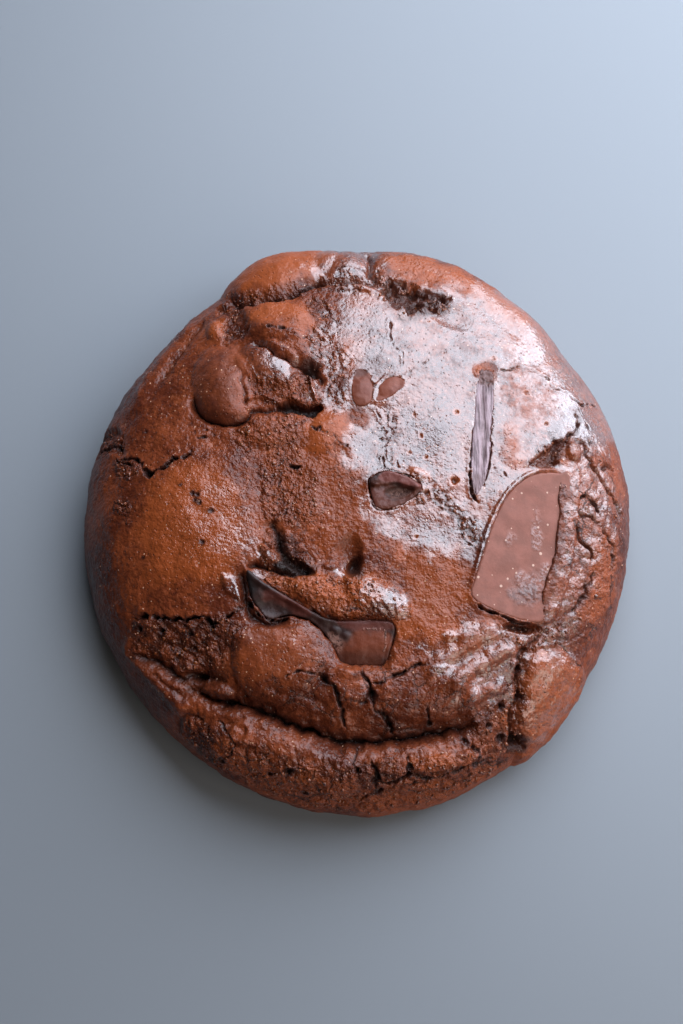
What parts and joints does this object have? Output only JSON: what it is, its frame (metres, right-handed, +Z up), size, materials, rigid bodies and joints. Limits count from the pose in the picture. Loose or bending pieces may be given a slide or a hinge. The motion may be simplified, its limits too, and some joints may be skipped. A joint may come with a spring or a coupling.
{
  "type": "brownie cookie",
  "caption": "Thick round baked brownie cookie with a folded, crackled glossy crust, a flat base and broken pieces of chocolate set into its top.",
  "frame": {"origin": "middle of the flat base, on the surface that the cookie rests on, halfway along the cookie's width and depth", "axes": "+Z up out of the crackled top, +Y to the back of the cookie where the narrow back lobes are, away from the long front fold, +X to the right, towards the large flat piece of chocolate"},
  "size_m": [0.1, 0.1062, 0.0245],
  "materials": {
    "brownie_crust": "baked cocoa dough with a thin, glossy, finely wrinkled sugar skin",
    "milk_chocolate": "milk chocolate, heated and set again, satin",
    "dark_chocolate": "dark chocolate, satin with a thin bloom"
  },
  "bodies": {
    "root": {"cookie_body": "brownie_crust", "chocolate_slab": "milk_chocolate", "chocolate_shard": "dark_chocolate", "chocolate_wedge": "dark_chocolate", "chocolate_bar": "dark_chocolate", "chocolate_nib_left": "dark_chocolate", "chocolate_nib_right": "dark_chocolate"}
  },
  "joints": []
}
